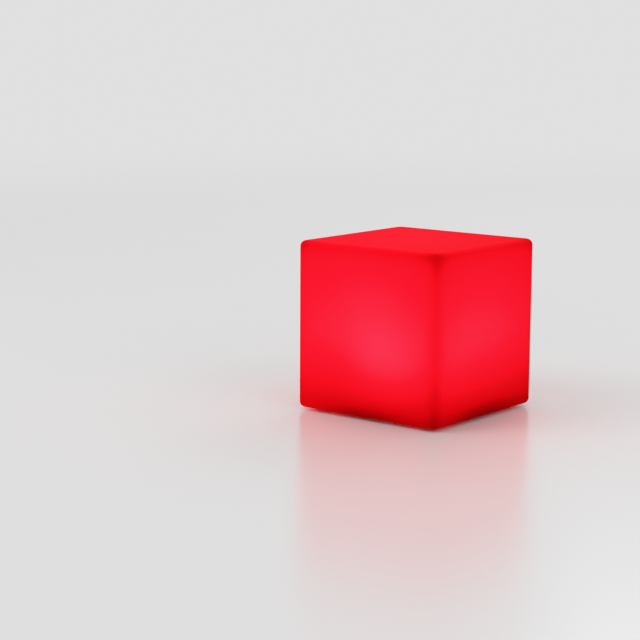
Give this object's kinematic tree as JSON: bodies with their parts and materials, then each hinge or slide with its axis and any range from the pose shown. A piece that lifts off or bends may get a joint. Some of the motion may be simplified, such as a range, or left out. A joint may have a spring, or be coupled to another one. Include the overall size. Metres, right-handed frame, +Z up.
{
  "type": "led cube light",
  "caption": "Free-standing cube light with a translucent moulded shell, a screwed-in LED and battery engine, push switch and flap-covered charging socket underneath.",
  "frame": {"origin": "middle of the base, on the surface that the rubber feet stand on", "axes": "+Z up; -Y towards the face shown more frontally in the picture (front), +X towards the other shown face (right side)"},
  "size_m": [0.2, 0.2, 0.2],
  "materials": {
    "lit_shell": "satin translucent moulding, lit red from inside",
    "foot_rubber": "matt moulded rubber",
    "brass": "turned brass",
    "engine_white": "fine-textured white moulding",
    "seal_rubber": "smooth seal rubber",
    "screw_steel": "stainless steel",
    "cover_white": "fine-textured white moulding",
    "aluminium": "rolled sheet",
    "board_white": "white solder mask",
    "led_package": "moulded LED package",
    "receiver_black": "dark epoxy",
    "frosted_dome": "frosted diffuser",
    "cell_sleeve": "shrink sleeve over a metal can",
    "cradle_black": "moulded black plastic",
    "pad_foam": "closed-cell foam",
    "nickel": "nickel strip",
    "board_green": "green solder mask",
    "chip_black": "moulded chip package",
    "inductor_grey": "ferrite",
    "capacitor_can": "drawn can",
    "connector_cream": "moulded nylon",
    "switch_black": "satin black moulding",
    "button_grey": "soft-touch grey",
    "spring_steel": "spring wire",
    "terminal_tin": "tinned brass",
    "socket_black": "black moulding",
    "pin_nickel": "nickel-plated brass",
    "flap_rubber": "soft black rubber",
    "light_pipe": "clear acrylic",
    "lead_red": "wire insulation"
  },
  "bodies": {
    "lamp": {"shell": "lit_shell", "shell_inserts": "brass", "foot_front_left": "foot_rubber", "foot_front_right": "foot_rubber", "foot_back_left": "foot_rubber", "foot_back_right": "foot_rubber", "engine_housing": "engine_white", "flange_gasket": "seal_rubber", "flange_screws": "screw_steel", "bottom_cover": "cover_white", "cover_seal": "seal_rubber", "cover_screws": "screw_steel", "heat_spreader": "aluminium", "led_board": "board_white", "leds": "led_package", "ir_receiver": "receiver_black", "led_board_screws": "screw_steel", "diffuser_dome": "frosted_dome", "dome_seal": "seal_rubber", "battery_cell_1": "cell_sleeve", "battery_cell_2": "cell_sleeve", "battery_cradle": "cradle_black", "cradle_screws": "screw_steel", "battery_pad": "pad_foam", "battery_tabs": "nickel", "protection_board": "board_green", "control_board": "board_green", "control_board_screws": "screw_steel", "surface_mount_parts": "chip_black", "power_inductor": "inductor_grey", "buffer_capacitor": "capacitor_can", "lead_connectors": "connector_cream", "switch_body": "switch_black", "switch_contact_block": "switch_black", "switch_spring": "spring_steel", "switch_nut": "engine_white", "switch_seal": "seal_rubber", "switch_terminals": "terminal_tin", "charge_jack_body": "socket_black", "charge_jack_pin": "pin_nickel", "charge_jack_nut": "engine_white", "charge_jack_seal": "seal_rubber", "charge_jack_terminals": "terminal_tin", "charge_port_anchor": "flap_rubber", "charge_light_pipe": "light_pipe", "charge_indicator_led": "led_package", "battery_leads": "lead_red", "led_leads": "lead_red", "switch_leads": "lead_red", "jack_leads": "lead_red"},
    "button": {"switch_button": "button_grey"},
    "port_flap": {"charge_port_flap": "flap_rubber"}
  },
  "joints": [
    {"name": "button_press", "type": "slide", "parent": "lamp", "child": "button", "axis": [0, 0, 1], "range_m": [0, 0.0015], "stiffness_N_per_m": 300, "springref_m": -0.003, "deforming": ["switch_spring"]},
    {"name": "charge_flap_swing", "type": "hinge", "parent": "lamp", "child": "port_flap", "pos_m": [0.016, -0.01215, 0.00545], "axis": [-1, 0, 0], "range_deg": [0, 110]}
  ]
}
